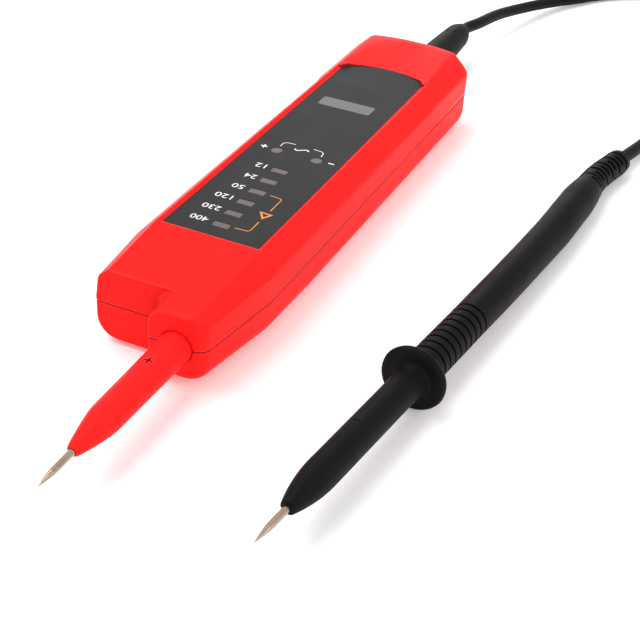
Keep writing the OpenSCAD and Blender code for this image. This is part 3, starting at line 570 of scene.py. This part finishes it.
@dataclass
class TestLead:
    """The lead from the boot to the black probe, with its unseen length in a tied coil."""

    diameter: float = 4.5
    coil_at: Place = (88.0, 228.0)
    coil_outer: float = 27.25
    coil_inner: float = 22.75
    low: float = 2.45
    high: float = 6.85
    tie_angle: float = 60.0
    tie_width: float = 6.0
    tie_thick: float = 0.15
    tie_gap: float = 0.03
    out: Sequence[Point] = (
        (0, 142, 13), (0.6, 150, 13), (2.5, 159, 12.2), (4.7, 178, 9.8), (9.5, 198, 6.8), (15.5, 215.5, 4.3),
        (23.5, 230, 2.8), (33, 243, 2.4), (46, 253, 2.4), (60, 256.5, 2.4), (72, 255.3, 2.4))
    back: Sequence[Point] = (
        (115.9, 220.5, 6.6), (116.1, 216.2, 5.3), (115.8, 211.8, 3.4), (115.2, 207, 2.4), (114.3, 200, 2.3),
        (110, 183, 2.3), (102, 160, 2.3), (94, 138, 2.3), (88.5, 118, 2.3), (86, 105, 2.95),
        (84.35, 94.5, 4.05), (82.8, 86, 4.72), (81.72, 80.07, 4.9))

    def turns(self) -> list[Point]:
        """The coil's own points, clockwise from its rear edge.

        Returns:
            Points every 15 degrees over three and a quarter turns.
        """
        # turned angle, radius, height: lower outer turn, lower inner turn, half an upper inner one, upper outer turn
        marks = [(0, self.coil_outer, self.low), (260, self.coil_outer, self.low), (335, self.coil_inner, self.low),
                 (620, self.coil_inner, self.low), (700, self.coil_inner, self.high),
                 (770, self.coil_inner, self.high), (850, self.coil_outer, self.high),
                 (1170, self.coil_outer, self.high)]
        points = []
        for turned in range(0, 1171, 15):
            k = max(i for i in range(len(marks) - 1) if marks[i][0] <= turned)
            (a0, r0, z0), (a1, r1, z1) = marks[k], marks[k + 1]
            t = (turned - a0) / (a1 - a0)
            t = t * t * (3 - 2 * t)
            r, z = r0 + (r1 - r0) * t, z0 + (z1 - z0) * t
            a = math.radians(90 - turned)
            points.append((self.coil_at[0] + r * math.cos(a), self.coil_at[1] + r * math.sin(a), z))
        return points

    def centreline(self) -> list[Vector]:
        """Smooth line through all the route's points.

        Returns:
            Points in metres, close together.
        """
        route = [Vector(p) for p in (*self.out, *self.turns(), *self.back)]
        line = []
        for i in range(len(route) - 1):
            p0, p1, p2, p3 = route[max(i - 1, 0)], route[i], route[i + 1], route[min(i + 2, len(route) - 1)]
            steps = max(3, round((p2 - p1).length / 1.6))
            for j in range(steps):
                t = j / steps
                line.append(0.5 * (2 * p1 + (p2 - p0) * t + (2 * p0 - 5 * p1 + 4 * p2 - p3) * t * t
                                   + (3 * p1 - p0 - 3 * p2 + p3) * t ** 3) * MM)
        line.append(route[-1] * MM)
        return line

    def build(self) -> None:
        """Makes the cord and its tie."""
        line = self.centreline()
        curve = bpy.data.curves.new("test_lead_cord", "CURVE")
        curve.dimensions = "3D"
        curve.bevel_depth = self.diameter / 2 * MM
        curve.bevel_resolution = 5
        curve.use_fill_caps = True
        spline = curve.splines.new("POLY")
        spline.points.add(len(line) - 1)
        for point, p in zip(spline.points, line):
            point.co = (*p, 1)
        spline.use_smooth = True
        cord = bpy.data.objects.new("test_lead_cord", curve)
        bpy.context.scene.collection.objects.link(cord)
        curve.materials.append(BLACK_PVC.build())
        tie = self.tie()
        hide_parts("lead", "lead_coil", "lead_return")
        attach(cord, "root")

    def tie(self) -> bpy.types.Object:
        """Strip that holds the coil's turns together.

        Returns:
            The strip, an open ring round all four runs of the cord.
        """
        a = math.radians(self.tie_angle)
        middle = (self.coil_outer + self.coil_inner) / 2
        wide = self.coil_outer - self.coil_inner + self.diameter + 2 * self.tie_gap
        high = self.high - self.low + self.diameter + 2 * self.tie_gap
        deselect()
        bpy.ops.mesh.primitive_cylinder_add(
            vertices=4, radius=math.sqrt(0.5), depth=1, end_fill_type="NOTHING",
            rotation=(0, 0, math.radians(45)))
        band = bpy.context.object
        band.name = "coil_tie"
        bake_place(band)
        band.data.transform(Matrix.Rotation(math.radians(90), 4, "X"))
        band.data.transform(Matrix.Diagonal((wide * MM, self.tie_width * MM, high * MM, 1)))
        take(band)
        bpy.ops.object.mode_set(mode="EDIT")
        bpy.ops.mesh.select_all(action="SELECT")
        bpy.ops.mesh.normals_make_consistent(inside=False)
        bpy.ops.object.mode_set(mode="OBJECT")
        apply_modifier(band, "BEVEL", width=2.2 * MM, segments=6, limit_method="ANGLE", angle_limit=math.radians(40))
        apply_modifier(band, "SOLIDIFY", thickness=self.tie_thick * MM, offset=1)
        band.data.transform(
            Matrix.Translation(Vector((self.coil_at[0] + middle * math.cos(a), self.coil_at[1] + middle * math.sin(a),
                                       (self.high + self.low) / 2)) * MM) @ Matrix.Rotation(a, 4, "Z"))
        finish_piece(band, Finish("polyethylene strip, ribbed", "black_insulation", "#232323", "#1A1A1A", 0.5, 0.6,
                                  grain_mm=0.6, relief_mm=0.05, cloud_mm=1.2).build())
        return band


# ---- Housing


@dataclass
class Housing:
    """Both mouldings of the red case, with eased edges, and the pieces that close and fill it."""

    edge_mm: float = 0.22

    def shell(self, node: str, name: str, red: bpy.types.Material) -> None:
        """One moulding with its edges eased.

        Args:
            node: CAD node that it stands for.
            name: Name of the piece.
            red: Its material.
        """
        piece = standing_for(node, name)
        apply_modifier(piece, "BEVEL", width=self.edge_mm * MM, segments=2, limit_method="ANGLE",
                       angle_limit=math.radians(38))
        finish_piece(piece, red, 32)
        apply_modifier(piece, "WEIGHTED_NORMAL", keep_sharp=True, weight=60)
        deselect()

    def build(self) -> None:
        """Makes the case."""
        red = RED_ABS.build()
        self.shell("upper_shell", "upper_case", red)
        self.shell("lower_shell", "lower_case", red)
        for node, finish in INNER.items():
            dress(node, finish)


def dress(node: str, finish: Finish) -> None:
    """Gives a CAD node its finish.

    Args:
        node: Name of the CAD node.
        finish: Its finish.
    """
    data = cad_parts[node].data
    data.materials.clear()
    data.materials.append(finish.build())
    LOG.info("%s: dressed", node)


# ---- Panel


@dataclass
class PanelFace:
    """Printed face of the panel: figures, lines and plain fields, each a thin layer of ink."""

    face_z: float = 26.44
    ink: float = 0.03
    shift_y: float = -62.1
    line: float = 0.34
    figures: Sequence[tuple[str, Place, float]] = (
        ("400", (-7.5, 8.4), 5.7), ("230", (-7.45, 15.6), 5.9), ("120", (-7.45, 23.1), 5.6),
        ("50", (-6.5, 30.3), 3.9), ("24", (-6.2, 37.75), 3.9), ("12", (-6.6, 45.3), 3.6))
    figure_height: float = 2.5
    orange_lines: Sequence[Sequence[Place]] = (
        ((4.5, 30.0), (8.1, 29.7), (8.7, 29.0), (8.75, 21.8)),
        ((8.7, 14.6), (8.8, 9.2), (8.1, 8.45), (4.2, 8.2)))
    triangle: Sequence[Place] = ((6.6, 19.9), (10.1, 19.7), (8.6, 17.0), (6.6, 19.9))
    white_lines: Sequence[Sequence[Place]] = (
        ((-7.1, 59.8), (-7.2, 61.9), (-6.4, 62.9), (-3.3, 63.2)),
        ((3.1, 63.1), (6.1, 62.8), (7.0, 61.8), (7.2, 59.7)))
    signs: Sequence[Sequence[Place]] = (
        ((-12.7, 57.3), (-10.5, 57.3)), ((-11.6, 56.2), (-11.6, 58.4)), ((10.9, 57.1), (12.9, 57.1)))
    sign_line: float = 0.55
    white_line: float = 0.3
    wave_line: float = 0.5
    wave_y: float = 60.6
    wave_size: Place = (2.2, 0.8)
    triangle_line: float = 1.3
    plate: Sequence[Place] = ((-10.4, 93.7), (8.4, 99.9))
    plate_corner: float = 1.0

    def mark(self, points: Sequence[Place], width: float, name: str) -> bpy.types.Object:
        """A printed line: a round wire along the points, pressed flat.

        Args:
            points: Places from the panel's front edge, in millimetres.
            width: Width of the line.
            name: Name of the piece.

        Returns:
            The mesh, with its place in it.
        """
        deselect()
        curve = bpy.data.curves.new(name, "CURVE")
        curve.dimensions = "3D"
        curve.bevel_depth = width / 2 * MM
        curve.bevel_resolution = 2
        curve.use_fill_caps = True
        closed = points[0] == points[-1]
        kept = points[:-1] if closed else points
        spline = curve.splines.new("POLY")
        spline.use_cyclic_u = closed
        spline.points.add(len(kept) - 1)
        for point, (x, y) in zip(spline.points, kept):
            point.co = (x * MM, y * MM, 0, 1)
        piece = bpy.data.objects.new(name, curve)
        bpy.context.scene.collection.objects.link(piece)
        take(piece)
        bpy.ops.object.convert(target="MESH")
        piece = bpy.context.object
        bpy.ops.object.mode_set(mode="EDIT")
        bpy.ops.mesh.select_all(action="SELECT")
        bpy.ops.transform.resize(value=(1, 1, self.ink / width))
        bpy.ops.object.mode_set(mode="OBJECT")
        piece.data.transform(Matrix.Translation(Vector((0, self.shift_y, self.face_z + self.ink / 2)) * MM))
        return piece

    def figure(self, body: str, at: Place, width: float, height: float) -> bpy.types.Object:
        """A printed figure that reads from the tip's side.

        Args:
            body: The figure.
            at: Its middle, from the panel's front edge.
            width: Its whole width in millimetres.
            height: Its height in millimetres.

        Returns:
            The mesh, with its place in it.
        """
        deselect()
        bpy.ops.object.text_add()
        text = bpy.context.object
        text.data.body = body
        text.data.size = 0.01
        text.data.offset = 0.00002
        text.data.resolution_u = 4
        text.data.extrude = self.ink / 2 * MM
        bpy.ops.object.convert(target="MESH")
        piece = bpy.context.object
        xs = [v.co.x for v in piece.data.vertices]
        ys = [v.co.y for v in piece.data.vertices]
        middle = Vector(((min(xs) + max(xs)) / 2, (min(ys) + max(ys)) / 2, 0))
        size = Matrix.Diagonal((width * MM / (max(xs) - min(xs)), height * MM / (max(ys) - min(ys)), 1, 1))
        place = Matrix.Translation(Vector((at[0], at[1] + self.shift_y, self.face_z + self.ink / 2)) * MM)
        piece.data.transform(place @ Matrix.Rotation(math.pi, 4, "Z") @ size @ Matrix.Translation(-middle))
        return piece

    def field(self, low: Place, high: Place, corner: float, name: str) -> bpy.types.Object:
        """A plain printed field with round corners.

        Args:
            low: Its corner with the lowest x and y.
            high: Its opposite corner.
            corner: Radius of its corners.
            name: Name of the piece.

        Returns:
            The mesh, with its place in it.
        """
        deselect()
        middle = ((low[0] + high[0]) / 2, (low[1] + high[1]) / 2 + self.shift_y)
        bpy.ops.mesh.primitive_plane_add(size=1, location=(middle[0] * MM, middle[1] * MM, self.face_z * MM))
        piece = bpy.context.object
        piece.name = name
        piece.scale = ((high[0] - low[0]) * MM, (high[1] - low[1]) * MM, 1)
        bake_place(piece)
        bpy.ops.object.mode_set(mode="EDIT")
        bpy.ops.mesh.select_all(action="SELECT")
        bpy.ops.mesh.bevel(offset=corner * MM, segments=5, affect="VERTICES")
        bpy.ops.object.mode_set(mode="OBJECT")
        apply_modifier(piece, "SOLIDIFY", thickness=self.ink * MM, offset=1)
        return piece

    def build(self) -> None:
        """Makes the print and dresses the overlay and the windows."""
        dress("front_panel", GREY_FILM)
        dress("bar_light_guides", SMOKED_ACRYLIC)
        dress("dot_light_guides", SMOKED_ACRYLIC)
        white = WHITE_INK.build()
        orange = ORANGE_INK.build()
        figures = [self.figure(body, at, width, self.figure_height) for body, at, width in self.figures]
        figures += [self.mark(points, self.sign_line, "sign") for points in self.signs]
        finish_piece(join(figures, "printed_figures"), white)
        half_run, rise = self.wave_size
        wave = [(half_run * math.cos(math.radians(a)), self.wave_y + rise * math.sin(math.radians(2 * a)))
                for a in range(0, 181, 15)]
        lines = [self.mark(points, self.white_line, "bracket") for points in self.white_lines]
        lines.append(self.mark(wave, self.wave_line, "wave"))
        finish_piece(join(lines, "printed_brackets"), white)
        lines = [self.mark(points, self.line, "bracket") for points in self.orange_lines]
        lines.append(self.mark(self.triangle, self.triangle_line, "triangle"))
        finish_piece(join(lines, "printed_range_lines"), orange)
        plate = self.field(*self.plate, self.plate_corner, "blank_name_plate")
        finish_piece(plate, PLATE_INK.build())


# ---- Probes and boot


@dataclass(frozen=True)
class Axis:
    """Axis of a turned piece: a place on it, its run and the side that faces up."""

    origin: Point
    yaw_deg: float = 0.0
    dip_deg: float = 0.0

    def frame(self) -> Matrix:
        """Turns local places (across, along, outward) to the part's frame.

        Returns:
            Matrix in metres.
        """
        yaw = Matrix.Rotation(-math.radians(self.yaw_deg), 4, "Z")
        dip = Matrix.Rotation(-math.radians(self.dip_deg), 4, "X")
        return Matrix.Translation(Vector(self.origin) * MM) @ yaw @ dip


@dataclass(frozen=True)
class Stroke:
    """An engraved stroke: its place along the axis and round it, the barrel's radius there and its length.

    The turn counts from the top towards +X. A stroke that runs across goes round the barrel, not along it.
    """

    along: float
    turn_deg: float
    radius: float
    length: float
    across: bool


@dataclass
class Probes:
    """The red barrel on the housing and the black hand probe, with their metal tips."""

    red_axis: Axis = Axis((9.4, -62.1, 13.0))
    black_axis: Axis = Axis((69.37, -73.88, 9.65), 5.31, 1.76)
    plus: Sequence[Stroke] = (Stroke(-48.3, 1, 4.67, 2.5, True), Stroke(-48.3, 1, 4.67, 2.5, False))
    minus: Sequence[Stroke] = (Stroke(-30.3, -10, 4.55, 2.2, True),)
    stroke_mm: float = 0.42
    cut_mm: float = 0.5
    cut_edge_mm: float = 0.12
    dimple_mm: float = 0.6
    dimples: Sequence[Point] = ((-1.35, 132.35, 18.08), (1.5, 132.8, 18.02))

    def cutter(self, axis: Axis, stroke: Stroke) -> bpy.types.Object:
        """Cutter for one engraved stroke.

        Args:
            axis: Axis of the barrel.
            stroke: The stroke.

        Returns:
            A rounded bar half sunk in the surface.
        """
        deselect()
        bpy.ops.mesh.primitive_cube_add(size=1)
        bar = bpy.context.object
        plan = (stroke.length, self.stroke_mm) if stroke.across else (self.stroke_mm, stroke.length)
        bar.data.transform(Matrix.Diagonal((plan[0] * MM, plan[1] * MM, 2 * self.cut_mm * MM, 1)))
        apply_modifier(bar, "BEVEL", width=self.cut_edge_mm * MM, segments=2)
        turn = Matrix.Rotation(math.radians(stroke.turn_deg), 4, "Y")
        bar.data.transform(axis.frame() @ Matrix.Translation((0, stroke.along * MM, 0)) @ turn
                           @ Matrix.Translation((0, 0, stroke.radius * MM)))
        return bar

    def dimple(self, at: Vector) -> bpy.types.Object:
        """Cutter for one small moulded dimple.

        Args:
            at: Its middle on the surface, in millimetres.

        Returns:
            A flattened ball.
        """
        deselect()
        bpy.ops.mesh.primitive_uv_sphere_add(segments=20, ring_count=12, radius=1)
        ball = bpy.context.object
        size = Matrix.Diagonal((self.dimple_mm * MM, self.dimple_mm * 1.3 * MM, self.dimple_mm * 0.8 * MM, 1))
        ball.data.transform(Matrix.Translation(at * MM) @ size)
        return ball

    def engrave(self, piece: bpy.types.Object, cutters: Sequence[bpy.types.Object]) -> None:
        """Cuts marks out of a piece.

        Args:
            piece: The piece.
            cutters: The marks' cutters, which are removed.
        """
        for cutter in cutters:
            apply_modifier(piece, "BOOLEAN", operation="DIFFERENCE", solver="EXACT", object=cutter)
            bpy.data.objects.remove(cutter, do_unlink=True)

    def build(self) -> None:
        """Makes both probes."""
        dress("probe_tip", PLATED_BRASS)
        dress("black_probe_tip", PLATED_BRASS)
        boot = standing_for("cable_boot", "lead_boot")
        self.engrave(boot, [self.dimple(Vector((x, y, z))) for x, y, z in self.dimples])
        finish_piece(boot, SOFT_BLACK.build(), 40)
        barrel = standing_for("probe_barrel", "red_barrel")
        self.engrave(barrel, [self.cutter(self.red_axis, stroke) for stroke in self.plus])
        finish_piece(barrel, RED_ABS.build(), 32)
        handle = standing_for("black_probe_handle", "black_hand_probe")
        self.engrave(handle, [self.cutter(self.black_axis, stroke) for stroke in self.minus])
        finish_piece(handle, BLACK_TPE.build(), 32)
        for piece in (barrel, handle):
            apply_modifier(piece, "WEIGHTED_NORMAL", keep_sharp=True, weight=60)
        deselect()


def main() -> None:
    """Builds the studio and the tester, piece by piece."""
    logging.basicConfig(level=logging.INFO, format="%(name)s %(message)s")
    Studio().build()
    TestLead().build()
    Housing().build()
    PanelFace().build()
    Probes().build()
    deselect()


if __name__ == "__main__":
    main()
